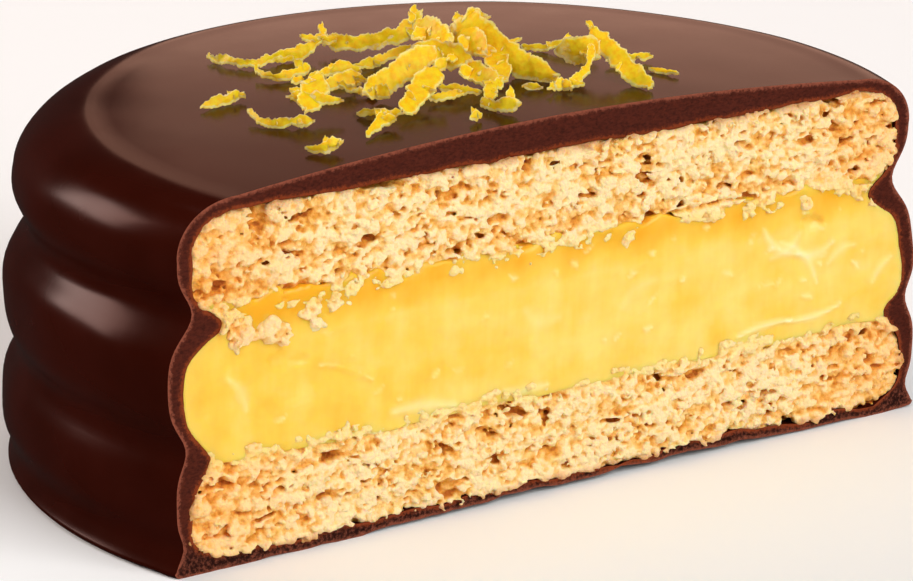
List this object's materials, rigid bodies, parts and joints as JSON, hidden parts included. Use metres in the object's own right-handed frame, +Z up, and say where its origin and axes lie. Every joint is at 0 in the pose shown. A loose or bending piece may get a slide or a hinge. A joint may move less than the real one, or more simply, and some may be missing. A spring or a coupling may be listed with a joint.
{
  "type": "alfajor cookie",
  "caption": "Thick round alfajor cut across: crumbly biscuits with a lemon cream filling in a wavy chocolate coat, lemon zest on top.",
  "frame": {"origin": "point on the flat underside, on the axis of the disc before it was cut", "axes": "+Z up through the layers, -Y out of the cut face, +X to the right when facing the cut"},
  "size_m": [0.0649, 0.0421, 0.0309],
  "materials": {
    "dark_chocolate": "smooth glossy poured chocolate, matt where it is cut",
    "baked_biscuit": "matt open crumb",
    "lemon_curd_cream": "smooth, moist and slightly translucent",
    "lemon_peel": "moist, translucent, with torn edges"
  },
  "bodies": {
    "root": {"chocolate_coat": "dark_chocolate", "bottom_biscuit": "baked_biscuit", "lemon_cream": "lemon_curd_cream", "top_biscuit": "baked_biscuit", "zest_01": "lemon_peel", "zest_02": "lemon_peel", "zest_03": "lemon_peel", "zest_04": "lemon_peel", "zest_05": "lemon_peel", "zest_06": "lemon_peel", "zest_07": "lemon_peel", "zest_08": "lemon_peel", "zest_09": "lemon_peel", "zest_10": "lemon_peel", "zest_11": "lemon_peel", "zest_12": "lemon_peel", "zest_13": "lemon_peel", "zest_14": "lemon_peel", "zest_15": "lemon_peel", "zest_16": "lemon_peel", "zest_17": "lemon_peel", "zest_18": "lemon_peel", "zest_19": "lemon_peel", "zest_20": "lemon_peel", "zest_21": "lemon_peel", "zest_22": "lemon_peel", "zest_23": "lemon_peel", "zest_24": "lemon_peel"}
  },
  "joints": []
}
